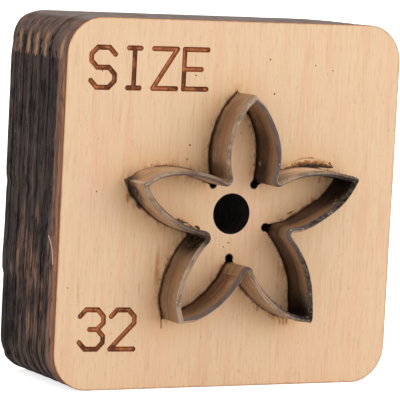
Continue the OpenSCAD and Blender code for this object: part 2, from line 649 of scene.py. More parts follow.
@dataclass(frozen=True)
class FaceWood:
    """Pale sanded veneer: fine upright grain, long bands, short pores, scorch and painted warm shade by the
    cuts.
    """

    honey: Colour = paint(235, 201, 162)
    base: Colour = paint(235, 200, 162)
    rosy: Colour = paint(235, 196, 161)
    tan: Colour = paint(219, 174, 134)
    cream: Colour = paint(244, 214, 180)
    pink: Colour = paint(232, 184, 148)
    pore: Colour = paint(186, 138, 98)
    scorch: Colour = paint(182, 106, 36)
    tick: Colour = paint(136, 74, 44)
    # Golden tint round the slot: scorch, with painted warm light in the shade by the walls
    golden: Colour = paint(228, 178, 120)
    dark: Colour = paint(96, 52, 32)
    char: Colour = paint(34, 25, 23)
    scorched: tuple[Scorch, ...] = (
        Scorch(7.1, -15.05, 1.4, 0.6, 26, 0.6),
        Scorch(8.35, -15.75, 0.3, 0.85, 0, 0.9),
        Scorch(8.95, -15.85, 0.26, 0.85, 0, 0.85),
        Scorch(9.45, -15.75, 0.26, 0.85, 0, 0.95),
        Scorch(4.8, -14.0, 0.3, 0.7, 0, 0.7),
        Scorch(-15.4, 0.95, 0.32, 1.0, -8, 0.9),
        Scorch(-14.4, -0.1, 0.4, 0.7, -30, 0.85),
        Scorch(-12.2, -1.2, 0.5, 0.3, 30, 0.8),
        Scorch(13.4, 3.4, 0.25, 0.8, 10, 0.8),
        Scorch(-10.1, 5.3, 0.35, 0.16, 0, 0.6),
        Scorch(-8.6, 5.4, 0.3, 0.14, 0, 0.55),
        Scorch(7.8, -8.9, 0.16, 1.6, 2, 0.45),
        Scorch(7.7, -11.0, 0.3, 0.8, 0, 0.4),
        Scorch(9.3, -1.0, 0.6, 0.2, -25, 0.55),
        Scorch(12.4, 0.7, 0.3, 0.3, 0, 0.8),
        Scorch(6.4, 2.6, 0.6, 0.25, 0, 0.5),
        Scorch(1.0, 9.6, 0.35, 0.2, 0, 0.5),
        Scorch(-10.5, -9.0, 0.55, 5.0, 0, 0.6),
        Scorch(-13.04, -11.07, 0.16, 1.6, 0, 0.4),
        Scorch(-21.9, -11.2, 0.25, 2.8, 0, 0.3),
    )
    # Places where the slot is burnt wide
    charred: tuple[Scorch, ...] = (
        Scorch(-14.75, 1.7, 0.85, 1.5, -14, 0.95),
        Scorch(-13.8, 0.0, 0.45, 1.2, -42, 0.9),
        Scorch(7.5, -14.95, 1.3, 0.22, 26, 0.9),
    )
    # Where the slot is clean outside the wall
    clean: Scorch = Scorch(-13.6, 4.9, 2.6, 1.3, -24, 0.85)
    clean_soft: float = 0.35
    mark_soft: float = 0.75
    # How far from the slot each tint fades in and is full, and from its corners and the outline
    golden_reach: Point = (4.6, 0.6)
    scorch_reach: Point = (2.0, 0.3)
    tick_reach: Point = (1.0, 0.55)
    dark_reach: Point = (0.62, 0.42)
    corner_reach: Point = (0.72, 0.52)
    rim_reach: Point = (0.5, 0.2)

    def material(self, flower: FlowerLine, board: "DieBoard") -> Material:
        """Makes the material.

        Args:
            flower: Where the slot runs.
            board: Sizes of the board.

        Returns:
            The material for the board's front and back.
        """
        sheet = NodeSheet("face_wood")
        flat = sheet.vector("MULTIPLY", sheet.mm, (1.0, 0.0, 1.0))
        broad = sheet.noise(flat, (0.12, 0.0, 0.05), 3.0, 0.6, 3.1)
        sheet.colour = sheet.ramp(broad, ((0.34, self.honey), (0.5, self.base), (0.66, self.rosy)))
        streak = sheet.noise(flat, (2.6, 0.0, 0.16), 5.0, 0.68, 7.7)
        sheet.lay(self.tan, sheet.step(streak, 0.51, 0.3, 0.52))
        sheet.lay(self.cream, sheet.step(streak, 0.52, 0.7, 0.22))
        bands = sheet.noise(flat, (0.6, 0.0, 0.035), 4.0, 0.66, 12.6)
        sheet.lay(self.pink, sheet.step(bands, 0.5, 0.66, 0.48))
        pores = sheet.noise(flat, (6.0, 0.0, 0.4), 3.0, 0.6, 1.9)
        sheet.lay(self.pore, sheet.step(pores, 0.54, 0.76, 0.34))
        flecks = sheet.noise(flat, (3.4, 0.0, 1.1), 3.0, 0.6, 5.2)
        sheet.lay(self.pore, sheet.step(flecks, 0.62, 0.75, 0.5))
        ragged = sheet.noise(flat, (1.1, 0.0, 0.5), 4.0, 0.65, 9.4)
        near, corner = self._near_slot(sheet, flat, flower)
        # Golden tint round the slot: scorch, with painted warm light in the shade by the walls
        sheet.lay(self.golden, sheet.step(near, *self.golden_reach, 0.38))
        patchy = sheet.step(ragged, 0.4, 0.66, 0.5, 0.02)
        sheet.lay(self.scorch, sheet.step(near, *self.scorch_reach), patchy)
        burnt = sheet.more(1.0, self.clean.spot(sheet, flat, self.clean_soft), -self.clean.strength)
        patchy = sheet.step(ragged, 0.3, 0.6, 0.85, 0.25)
        sheet.lay(self.dark, sheet.step(near, *self.dark_reach), patchy, burnt)
        sheet.lay(self.char, sheet.step(corner, *self.corner_reach))
        ticks = sheet.noise(flat, (3.8, 0.0, 1.5), 3.0, 0.6, 2.8)
        sheet.lay(self.tick, sheet.step(ticks, 0.56, 0.64, 0.8), sheet.step(near, *self.tick_reach))
        for marks, tint in ((self.scorched, self.scorch), (self.charred, self.char)):
            for mark in marks:
                patchy = sheet.step(ragged, 0.36, 0.54, mark.strength, mark.strength / 2)
                sheet.lay(tint, mark.spot(sheet, flat, self.mark_soft), patchy)
        rim = sheet.more(self._from_rim(sheet, flat, board), ragged, 0.4)
        sheet.lay(self.scorch, sheet.step(rim, *self.rim_reach, 0.7))
        return sheet.close(0.62, 0.3, sheet.more(streak, pores, -0.6), 0.03)

    @staticmethod
    def _near_slot(sheet: NodeSheet, flat: Socket, flower: FlowerLine) -> tuple[Socket, Socket]:
        """Measures how near each point is to the slot, by folding all petals onto one.

        Args:
            sheet: The node tree.
            flat: Places on the face, in millimetres.
            flower: Where the slot runs.

        Returns:
            Distances from the middle line of the flower and from the slot's corner between two petals.
        """
        straight = flat
        for (at_x, at_y), (by_x, by_y), reach in flower.strays:
            place = (at_x, 0.0, at_y + BOARD_H / 2)
            away = sheet.vector("LENGTH", sheet.vector("SUBTRACT", flat, place))
            pull = sheet.math("EXPONENT", sheet.times(away, away, -1 / reach**2))
            shift = sheet.vector("SCALE", (by_x, 0.0, by_y), scale=pull)
            straight = sheet.vector("SUBTRACT", straight, shift)
        x, _, z = sheet.axes(straight)
        x = sheet.minus(x, flower.centre[0])
        y = sheet.minus(z, flower.centre[1] + BOARD_H / 2)
        radius = sheet.vector("LENGTH", sheet.join(x, y))
        fold = sheet.math("PINGPONG", sheet.math("ARCTAN2", x, y), flower.turn / 2)
        px = sheet.minus(sheet.times(radius, sheet.math("SINE", fold)), flower.wall_c.x)
        py = sheet.minus(sheet.times(radius, sheet.math("COSINE", fold)), flower.wall_c.y)
        from_centre = sheet.join(px, py)
        aside = sheet.minus(sheet.vector("LENGTH", from_centre), flower.wall_r)
        angle = sheet.math("ARCTAN2", py, px)
        before = sheet.minus(flower.wall_start, angle)
        after = sheet.minus(angle, flower.wall_end)
        ends = sheet.math("MAXIMUM", before, after)
        beyond = sheet.times(sheet.math("MAXIMUM", ends, 0.0), flower.wall_r)
        notch = flower.notch_dir * flower.notch_reach(0.0) - flower.wall_c
        corner = sheet.vector("LENGTH", sheet.vector("SUBTRACT", from_centre, (*notch, 0.0)))
        return sheet.vector("LENGTH", sheet.join(aside, beyond)), corner

    @staticmethod
    def _from_rim(sheet: NodeSheet, flat: Socket, board: "DieBoard") -> Socket:
        """Measures how far each point is from the outline of the board.

        Args:
            sheet: The node tree.
            flat: Places on the face, in millimetres.
            board: Sizes of the board.

        Returns:
            Distances from the outline.
        """
        inner = (board.w / 2 - board.corner_r, 0.0, board.h / 2 - board.corner_r)
        centred = sheet.vector("SUBTRACT", flat, (0.0, 0.0, BOARD_H / 2))
        out = sheet.vector("SUBTRACT", sheet.vector("ABSOLUTE", centred), inner)
        x, _, z = sheet.axes(out)
        corner = sheet.vector("LENGTH", sheet.vector("MAXIMUM", out, (0.0, 0.0, 0.0)))
        inside = sheet.math("MINIMUM", sheet.math("MAXIMUM", x, z), 0.0)
        return sheet.minus(board.corner_r, sheet.math("ADD", corner, inside))


@dataclass(frozen=True)
class CharredPly:
    """Laser-burnt edge of the plies: charcoal bands with brown streaks, painted lighter near the top, which
    faces up.
    """

    bands: tuple[Colour, ...] = (
        paint(146, 104, 82),
        paint(126, 91, 74),
        paint(54, 44, 41),
        paint(48, 39, 37),
        paint(64, 53, 49),
        paint(58, 48, 45),
        paint(68, 56, 52),
        paint(55, 45, 42),
        paint(70, 57, 52),
        paint(56, 46, 43),
        paint(66, 54, 50),
        paint(58, 48, 45),
        paint(66, 55, 51),
    )
    black: Colour = paint(14, 11, 11)
    soot: Colour = paint(26, 20, 19)
    rose: Colour = paint(126, 98, 85)
    ember: Colour = paint(154, 114, 90)
    ash: Colour = paint(134, 114, 104)
    pale: Colour = paint(184, 138, 106)
    # Painted light on the upper corners, which turn to face up, in two tones
    top: Colour = paint(140, 108, 93)
    grey: Colour = paint(98, 84, 79)
    # Painted sheen on the top of the board, which faces up
    top_sheen: Colour = paint(150, 136, 130)
    scorch: Colour = paint(140, 82, 48)
    # Plies that stay pale below the upper corners, and the black gaps between them
    pale_plies: tuple[float, ...] = (1.4, 5.3, 7.4, 9.3, 11.2)
    gaps: tuple[float, ...] = (4.2, 6.4, 8.4, 10.3)
    # Brown streaks on the left side: ply, height, half width in plies, half height
    embers: tuple[tuple[float, float, float, float], ...] = (
        (5.3, 22.4, 0.75, 2.4),
        (5.0, 14.6, 0.7, 3.4),
        (7.7, 17.0, 0.5, 5.0),
        (9.3, 16.5, 0.45, 4.0),
        (1.8, 14.2, 0.55, 1.3),
        (1.6, 8.5, 0.6, 4.5),
        (8.0, 31.5, 0.4, 2.6),
        (11.0, 14.5, 0.8, 1.6),
        (4.6, 8.2, 0.8, 3.2),
        (9.8, 7.0, 0.4, 3.5),
        (7.0, 8.5, 0.35, 2.5),
        (6.3, 15.5, 1.5, 5.5),
        (3.6, 12.0, 0.8, 4.5),
        (6.4, 7.5, 1.1, 3.5),
    )
    # Sooty place low on the left side, in the same way
    sooty: tuple[float, float, float, float] = (11.4, 7.5, 4.0, 9.0)
    mark_soft: float = 0.8
    # Where the left side begins, across the board
    left_side: Point = (-24.0, -24.4)
    # Heights between which the rosy streaks and the cracks come in, going down
    rose_top: Point = (30.0, 19.0)
    crack_top: Point = (46.2, 45.0)
    # Heights between which the painted light on the corners and the painted sheen on the top come in, going
    # up, and the pale plies end
    corner_low: Point = (43.9, 44.4)
    top_sheen_low: Point = (48.3, 48.8)
    pale_top: Point = (47.8, 46.4)
    # Half widths of a pale ply and of a gap, and of the part that is full, in plies
    pale_half: float = 0.5
    gap_half: float = 0.42
    full_half: float = 0.12

    def material(self, board: "DieBoard") -> Material:
        """Makes the material.

        Args:
            board: Sizes of the board.

        Returns:
            The material for the board's sides.
        """
        sheet = NodeSheet("charred_ply")
        x, y, z = sheet.axes(sheet.mm)
        along = sheet.noise(sheet.mm, (0.16, 0.25, 0.16), 3.0, 0.6, 2.3)
        depth = sheet.times(sheet.minus(y, FACE_Y), board.plies / BOARD_T)
        ply = sheet.fray(depth, along, 0.6)
        count = len(self.bands)
        stops = tuple((number / count, band) for number, band in enumerate(self.bands))
        sheet.colour = sheet.ramp(sheet.math("DIVIDE", ply, float(count)), stops, "CONSTANT")
        fibres = sheet.noise(sheet.mm, (0.28, 2.2, 0.28), 6.0, 0.72, 4.4)
        sheet.shade(sheet.step(fibres, 0.32, 0.68, 1.7, 0.48))
        ragged = sheet.noise(sheet.mm, (0.7, 2.4, 0.7), 5.0, 0.7, 6.1)
        streaks = sheet.noise(sheet.mm, (0.07, 0.75, 0.07), 4.0, 0.6, 8.8)
        low = sheet.step(z, *self.rose_top, 1.0, 0.22)
        patchy = sheet.step(ragged, 0.34, 0.6, 1.0, 0.35)
        sheet.lay(self.rose, sheet.step(streaks, 0.5, 0.6, 0.85), low, patchy)
        left = sheet.step(x, *self.left_side)
        torn = sheet.step(ragged, 0.34, 0.6, 0.95, 0.1)
        torn = sheet.times(torn, sheet.step(fibres, 0.36, 0.56, 1.0, 0.25))
        marks = [(mark, self.ember, torn) for mark in self.embers]
        for (at, height, wide, high), tint, cover in (*marks, (self.sooty, self.soot, 0.75)):
            spot = sheet.spot(sheet.join(ply, 0.0, z), (at, height), (wide, high), self.mark_soft)
            sheet.lay(tint, spot, left, cover)
        soot = sheet.noise(sheet.mm, (0.5, 0.9, 0.5), 4.0, 0.7, 0.9)
        sheet.lay(self.soot, sheet.step(soot, 0.54, 0.7, 0.7))
        ash = sheet.noise(sheet.mm, (1.5, 2.2, 1.5), 4.0, 0.7, 7.1)
        sheet.lay(self.ash, sheet.step(ash, 0.6, 0.72, 0.5))
        ledge = sheet.step(sheet.apart(sheet.math("FRACT", depth), 0.5), 0.36, 0.48)
        behind = sheet.step(depth, 1.4, 2.0, 1.0, 0.2)
        sheet.lay(self.soot, ledge, sheet.step(along, 0.4, 0.6, 0.95, 0.3), behind)
        self._top_corner(sheet, ply, z, ragged, fibres)
        cracks = sheet.noise(sheet.mm, (0.07, 0.8, 0.07), 3.0, 0.6, 3.9)
        cracks = sheet.step(sheet.apart(cracks, 0.5), 0.035, 0.008)
        cracks = sheet.times(cracks, sheet.step(z, *self.crack_top, 1.0, 0.3))
        behind = sheet.step(depth, 1.8, 2.4, 1.0, 0.25)
        sheet.lay(self.black, cracks, sheet.step(ragged, 0.34, 0.5, 0.95, 0.3), behind)
        sheet.lay(self.scorch, sheet.step(sheet.more(depth, ragged, 0.3), 0.5, 0.2, 0.9))
        rough = sheet.step(soot, 0.4, 0.65, 0.95, 0.7)
        return sheet.close(rough, 0.1, sheet.more(fibres, ragged, 0.6), 0.12)

    def _top_corner(self, sheet: NodeSheet, ply: Socket, z: Socket, ragged: Socket, fibres: Socket) -> None:
        """Paints light on the sides above the ends of the upper corners, where they turn to face up, with
        pale plies at the lower end.

        Args:
            sheet: The node tree.
            ply: Number of the ply, from the face.
            z: Height.
            ragged: Noise that frays the edges.
            fibres: Noise along the plies.
        """
        edge = sheet.more(z, ragged, 1.6)
        above = sheet.step(edge, *self.corner_low)
        cloud = sheet.noise(sheet.mm, (0.5, 0.7, 0.5), 4.0, 0.65, 5.9)
        light = sheet.blend(sheet.step(cloud, 0.36, 0.62), self.top, self.grey)
        light = sheet.blend(sheet.step(fibres, 0.52, 0.7, 0.35), light, self.soot)
        light = sheet.blend(sheet.step(ragged, 0.52, 0.68, 0.6), light, self.soot)
        # Painted light on the upper corners, broken by soot
        sheet.lay(light, above, 0.9)
        frayed = sheet.fray(ply, ragged, 0.9)
        patchy = sheet.step(ragged, 0.4, 0.52, 1.0, 0.2)
        fade = sheet.times(above, sheet.step(edge, *self.pale_top), patchy)
        pale, gaps = (self.pale_plies, self.pale, self.pale_half), (self.gaps, self.black, self.gap_half)
        for plies, tint, half in (pale, gaps):
            for at in plies:
                sheet.lay(tint, sheet.step(sheet.apart(frayed, at), half, self.full_half), fade)
        # Painted sheen on the top, which faces up
        sheet.lay(self.top_sheen, sheet.step(z, *self.top_sheen_low), sheet.step(cloud, 0.3, 0.6, 0.9, 0.45))


@dataclass(frozen=True)
class BurntMark:
    """Engraved marks: darker along the rims, burnt dark in patches, golden along the middle."""

    rim: Colour = paint(142, 75, 40)
    floor: Colour = paint(192, 122, 74)
    dark: Colour = paint(86, 42, 22)

    def material(self) -> Material:
        """Makes the material.

        Returns:
            The material for the engraved marks and the pores.
        """
        sheet = NodeSheet("burnt_mark")
        _, y, _ = sheet.axes(sheet.mm)
        grain = sheet.noise(sheet.mm, (2.4, 2.4, 1.2), 4.0, 0.65, 3.3)
        depth = sheet.fray(sheet.minus(y, FACE_Y), grain, 0.1)
        sheet.colour = sheet.blend(sheet.step(depth, 0.16, 0.21), self.rim, self.floor)
        patches = sheet.noise(sheet.mm, (0.5, 0.5, 0.5), 3.0, 0.6, 1.4)
        sheet.lay(self.dark, sheet.step(patches, 0.47, 0.62, 0.85))
        return sheet.close(0.75, 0.2, grain, 0.05)


@dataclass(frozen=True)
class CutChar:
    """Inside of the laser cuts: soot over charcoal."""

    soot: Colour = paint(30, 24, 25)
    coal: Colour = paint(52, 40, 37)

    def material(self) -> Material:
        """Makes the material.

        Returns:
            The material for the slot and the hole.
        """
        sheet = NodeSheet("cut_char")
        grain = sheet.noise(sheet.mm, (0.8, 3.0, 0.8), 4.0, 0.65, 5.5)
        sheet.colour = sheet.blend(sheet.step(grain, 0.4, 0.7), self.soot, self.coal)
        return sheet.close(0.85, 0.15, grain, 0.06)


@dataclass(frozen=True)
class Smudge:
    """A sooty, rusty or bright place, or one of painted shade or highlight, on a wall of the rule: an ellipse
    on the strip.

    Walls are counted round the flower from the joint, and lengths are in millimetres.
    """

    wall: int
    from_point: float
    height: float
    half_run: float
    half_height: float
    outside: bool
    strength: float
    turn: float = 0.0


@dataclass(frozen=True)
class RuleSteel:
    """Tempered steel of the rule's walls: oil stain with painted light and shade per wall, soot, painted
    shade and scratches.
    """

    # Colour in the middle of each wall, round the flower from the joint: oil stain with painted light and
    # shade
    # Walls that face up carry painted light, and walls seen from inside carry painted shade
    walls: tuple[Colour, ...] = (
        paint(128, 92, 66),
        paint(146, 112, 82),
        paint(188, 152, 120),
        paint(200, 163, 131),
        paint(140, 104, 76),
        paint(90, 60, 45),
        paint(255, 228, 202),
        paint(94, 66, 48),
        paint(94, 66, 50),
        paint(162, 130, 102),
    )
    # Stain at each point, in the same order
    points: tuple[Colour, ...] = (
        paint(150, 116, 86),
        paint(188, 154, 124),
        paint(170, 136, 106),
        paint(96, 74, 58),
        paint(92, 70, 54),
    )
    # Stain at the notch on the right of the upper petal, and the wall that ends there
    notch: Colour = paint(112, 80, 62)
    notch_wall: int = 5
    # Stain between the joint and the notch beside it
    joint: Colour = paint(166, 136, 98)
    gold: Colour = paint(180, 140, 102)
    olive: Colour = paint(182, 158, 128)
    patina: Colour = paint(138, 118, 98)
    rust: Colour = paint(128, 78, 44)
    soot: Colour = paint(30, 22, 19)
    bright: Colour = paint(226, 214, 196)
    # Soot, and painted shade in the corners at the notches, at the foot of the walls and inside the points
    soot_and_shade: tuple[Smudge, ...] = (
        Smudge(2, 1.4, 0.8, 3.6, 3.9, True, 1.0),
        # Painted shadow of the torn fibres along the foot of this wall
        Smudge(6, 5.5, 0.2, 6.5, 1.2, True, 0.6),
        Smudge(2, 4.5, 0.2, 4.0, 1.2, True, 0.9),
        Smudge(1, 11.4, 3.0, 3.2, 4.6, True, 1.0),
        Smudge(2, 11.6, 3.0, 2.4, 4.0, True, 0.9),
        Smudge(4, 11.0, 2.0, 2.6, 3.6, True, 0.55),
        Smudge(4, 9.0, 0.2, 5.0, 1.5, True, 0.9),
        Smudge(5, 6.0, 0.2, 9.0, 1.3, False, 0.9),
        Smudge(5, 12.2, 1.2, 3.4, 3.8, False, 0.75),
        Smudge(6, 0.5, 3.0, 6.5, 5.5, False, 1.0),
        Smudge(7, 1.0, 2.4, 6.6, 4.6, False, 0.92),
        Smudge(8, 0.5, 2.4, 5.0, 4.4, False, 0.95),
        Smudge(8, 6.0, 0.2, 8.0, 1.4, False, 0.8),
        Smudge(9, 0.5, 3.0, 4.0, 4.0, False, 0.9),
    )
    # Stretch where the foot has less soot and painted shade: wall and distance from its point, and half its
    # length and height
    clean: tuple[int, float] = (3, 3.0)
    clean_half: Point = (4.5, 3.0)
    rusts: tuple[Smudge, ...] = (
        Smudge(2, 4.4, 1.6, 1.8, 2.0, True, 0.55),
        Smudge(4, 3.0, 2.4, 3.0, 2.4, True, 0.25),
        Smudge(0, 6.0, 1.4, 4.0, 1.4, False, 0.35),
    )
    # Scratches, and a painted highlight at a fold
    scratches_and_highlight: tuple[Smudge, ...] = (
        Smudge(4, 9.7, 1.5, 1.1, 0.09, True, 0.75),
        Smudge(4, 9.4, 2.0, 1.2, 0.08, True, 0.7),
        Smudge(4, 9.8, 2.5, 1.0, 0.09, True, 0.75),
        Smudge(4, 9.5, 3.0, 1.2, 0.07, True, 0.65),
        Smudge(4, 10.0, 3.5, 0.9, 0.07, True, 0.6),
        Smudge(6, 10.2, 2.0, 1.3, 0.1, True, 0.6),
        Smudge(6, 9.8, 2.8, 1.6, 0.1, True, 0.55),
        Smudge(6, 10.4, 3.5, 1.1, 0.08, True, 0.55),
        Smudge(5, 10.4, 1.0, 0.3, 0.5, False, 0.5, 30),
        Smudge(7, 4.2, 4.5, 0.4, 0.22, False, 0.8),
        Smudge(7, 3.5, 4.0, 0.2, 0.16, False, 0.8),
        Smudge(6, 2.2, 4.8, 0.7, 0.2, False, 0.8),
        # Painted highlight along the outer fold of the left point, with burnished wear
        Smudge(3, 0.1, 3.2, 0.12, 2.6, True, 0.9),
        Smudge(0, 9.8, 4.2, 1.0, 1.0, False, 0.25),
    )
    mark_soft: float = 0.7
    # Share of a mark's strength that is left where it is thinnest
    mark_thin: float = 0.45
    # Heights above the board where the gold, the upper stains, and the soot and painted shade at the foot
    # start and are full
    gold_rise: Point = (2.9, 3.7)
    inner_top: Point = (4.0, 4.4)
    outer_top: Point = (3.2, 5.0)
    foot_soot_and_shade: Point = (1.0, 0.2)

    def material(self, rule: "CuttingRule") -> Material:
        """Makes the material.

        Args:
            rule: The strip, which tells where each wall is.

        Returns:
            The material for the walls.
        """
        sheet = NodeSheet("rule_steel")
        _, y, _ = sheet.axes(sheet.mm)
        height = sheet.minus(FACE_Y, y)
        run = sheet.attribute("run")
        strip = sheet.join(run, 0.0, height)
        cloud = sheet.noise(strip, (0.3, 0.0, 0.4), 4.0, 0.62, 2.2)
        notch = rule.run_on(self.notch_wall, rule.flower.half_petal) / rule.length
        stops = sorted([*rule.stops(self.walls, self.points), (notch, self.notch), (1.0, self.joint)])
        sheet.colour = sheet.ramp(sheet.math("DIVIDE", sheet.fray(run, cloud, 4.0), rule.length), stops)
        lines = sheet.noise(strip, (0.14, 0.0, 4.0), 6.0, 0.75, 7.3)
        drawn = sheet.step(lines, 0.3, 0.7, 1.34, 0.66)
        sheet.shade(sheet.times(drawn, sheet.step(cloud, 0.3, 0.7, 0.84, 1.14)))
        outer = sheet.step(sheet.attribute("out"), -0.05, 0.05)
        inner = sheet.minus(1.0, outer)
        level = sheet.fray(height, cloud, 2.4)
        sheet.lay(self.gold, sheet.step(level, *self.gold_rise), sheet.more(0.2, inner, 0.35))
        top = sheet.fray(height, cloud, 1.2)
        sheet.lay(self.gold, sheet.step(top, *self.inner_top, 0.7), inner)
        sheet.lay(self.olive, sheet.step(top, *self.outer_top, 0.4), outer)
        patina = sheet.noise(strip, (0.35, 0.0, 1.1), 5.0, 0.7, 4.9)
        sheet.lay(self.patina, sheet.step(patina, 0.42, 0.58, 0.85), mode="COLOR")
        sheet.shade(sheet.step(patina, 0.34, 0.66, 0.84, 1.18))
        grain = sheet.noise(strip, (1.2, 0.0, 1.6), 4.0, 0.68, 5.8)
        coats = ((self.rusts, self.rust), (self.soot_and_shade, self.soot), (self.scratches_and_highlight, self.bright))
        for marks, tint in coats:
            for mark in marks:
                at = (rule.run_on(mark.wall, mark.from_point), mark.height)
                radii = (mark.half_run, mark.half_height)
                spot = sheet.spot(strip, at, radii, self.mark_soft, mark.turn)
                patchy = sheet.step(grain, 0.34, 0.52, mark.strength, self.mark_thin * mark.strength)
                sheet.lay(tint, spot, outer if mark.outside else inner, patchy)
        # Soot and painted contact shade at the foot of the walls, less along the clean stretch
        clean = sheet.times(sheet.spot(strip, (rule.run_on(*self.clean), 0.0), self.clean_half), outer)
        foot = sheet.more(sheet.fray(height, grain, 1.8), clean, 0.6)
        sheet.lay(self.soot, sheet.step(foot, *self.foot_soot_and_shade, 0.9))
        sheet.lay(self.soot, sheet.step(grain, 0.36, 0.28, 0.6))
        sheet.lay(self.bright, sheet.step(grain, 0.68, 0.75, 0.5))
        return sheet.close(sheet.step(cloud, 0.35, 0.65, 0.58, 0.42), 0.3, lines, 0.02, metallic=0.5)


@dataclass(frozen=True)
class GroundBevel:
    """Ground bevels and land of the rule: beige outside, grey inside, worn places, painted notch shade,
    bright flecks.
    """

    outer: Colour = paint(176, 152, 128)
    inner: Colour = paint(134, 119, 111)
    shade: Colour = paint(112, 94, 82)
    fleck: Colour = paint(228, 220, 210)
    nick: Colour = paint(34, 27, 25)
    # Stretch of painted shade at the notch: wall, millimetres from its point, half length
    notch_shade: tuple[int, float, float] = (2, 10.6, 5.0)
    # Worn stretches, in the same way; the last is painted shade at the notch
    worn_and_shaded: tuple[tuple[int, float, float], ...] = (
        (6, 0.5, 6.5),
        (7, 4.0, 10.0),
        (8, 4.0, 10.0),
        (9, 0.5, 4.0),
        # Painted shade in the corner at the notch
        (2, 12.2, 2.8),
    )
    # Half height of such a stretch, which reaches past the bevel, and the share over which it fades
    stretch_high: float = 6.0
    stretch_soft: float = 0.6

    def material(self, rule: "CuttingRule") -> Material:
        """Makes the material.

        Args:
            rule: The strip, which tells where each wall is.

        Returns:
            The material for the bevels.
        """
        sheet = NodeSheet("ground_bevel")
        _, y, _ = sheet.axes(sheet.mm)
        strip = sheet.join(sheet.attribute("run"), 0.0, y)
        cloud = sheet.noise(strip, (0.5, 0.0, 0.8), 4.0, 0.6, 3.7)
        sheet.colour = sheet.blend(sheet.step(sheet.attribute("out"), -0.03, 0.03), self.inner, self.outer)
        sheet.lay(self.shade, sheet.step(cloud, 0.44, 0.64, 0.7))
        lines = sheet.noise(strip, (0.3, 0.0, 7.0), 4.0, 0.7, 6.3)
        sheet.shade(sheet.step(lines, 0.32, 0.68, 1.28, 0.72))
        wear = sheet.noise(strip, (1.9, 0.0, 1.9), 4.0, 0.65, 1.1)
        scuffed = sheet.step(wear, 0.58, 0.42, 0.75, 0.22)
        worn_and_shaded = [(stretch, self.nick, scuffed) for stretch in self.worn_and_shaded]
        for (wall, from_point, half), tint, cover in ((self.notch_shade, self.shade, 0.7), *worn_and_shaded):
            at = (rule.run_on(wall, from_point), -RULE_H / 2)
            sheet.lay(tint, sheet.spot(strip, at, (half, self.stretch_high), self.stretch_soft), cover)
        sheet.lay(self.fleck, sheet.step(wear, 0.64, 0.7, 0.8))
        sheet.lay(self.nick, sheet.step(wear, 0.38, 0.3, 0.8))
        return sheet.close(0.5, 0.25, wear, 0.03, metallic=0.35)


@dataclass(frozen=True)
class SplinterWood:
    """Torn fibres beside the slot: painted shadow at the wall, scorched and raw along their raised edges."""

    # Painted shadow low on the fibres by the wall, going through brown to the scorched edge
    soot: Colour = paint(66, 50, 38)
    brown: Colour = paint(134, 96, 62)
    scorch: Colour = paint(204, 134, 74)
    raw: Colour = paint(236, 202, 158)
    loose: Colour = paint(240, 228, 212)

    def material(self) -> Material:
        """Makes the material.

        Returns:
            The material for the fibres, by how high each point is raised.
        """
        sheet = NodeSheet("splinter_wood")
        grain = sheet.noise(sheet.mm, (2.2, 2.2, 2.2), 4.0, 0.7, 6.6)
        level = sheet.times(sheet.fray(sheet.attribute("rise"), grain, 1.1), 0.5)
        # Painted shadow low on the fibres, under their lifted edges
        torn = ((0.18, self.soot), (0.29, self.brown), (0.37, self.scorch), (0.46, self.raw))
        sheet.colour = sheet.ramp(level, (*torn, (0.62, self.raw), (0.8, self.loose)))
        return sheet.close(0.7, 0.25, grain, 0.05)


class Glyph(Enum):
    """Stroke letters and digits on a grid 4 wide and 6 high."""

    S = (((4, 5), (3, 6), (1, 6), (0, 5), (0, 4), (1, 3), (3, 3), (4, 2), (4, 1), (3, 0), (1, 0), (0, 1)),)
    I = (((1, 6), (3, 6)), ((2, 6), (2, 0)), ((1, 0), (3, 0)))
    Z = (((0, 6), (4, 6), (0, 0), (4, 0)),)
    E = (((4, 6), (0, 6), (0, 0), (4, 0)), ((0, 3), (3, 3)))
    THREE = (
        ((0, 5), (1, 6), (3, 6), (4, 5), (4, 4), (3, 3), (4, 2), (4, 1), (3, 0), (1, 0), (0, 1)),
        ((1.7, 3), (3, 3)),
    )
    TWO = (((0, 5), (1, 6), (3, 6), (4, 5), (4, 4), (0, 0), (4, 0)),)


@dataclass(frozen=True)
class SizeMark:
    """A row of burnt stroke characters: plain words and numbers for the size of the cut."""

    glyphs: tuple[Glyph, ...]
    left: float
    bottom: float
    pitch: float = 4.5
    w: float = 3.4
    h: float = 5.2
    slope: float = 0.0
    grid: tuple[int, int] = (4, 6)

    def strokes(self) -> Iterable[tuple[Point, Point]]:
        """Yields the two ends of each stroke."""
        wide, high = self.grid
        for index, glyph in enumerate(self.glyphs):
            left = self.left + index * self.pitch
            for line in glyph.value:
                spots = [(left + x / wide * self.w, self.bottom + y / high * self.h) for x, y in line]
                spots = [(x, y + self.slope * (x - self.left)) for x, y in spots]
                yield from zip(spots, spots[1:])


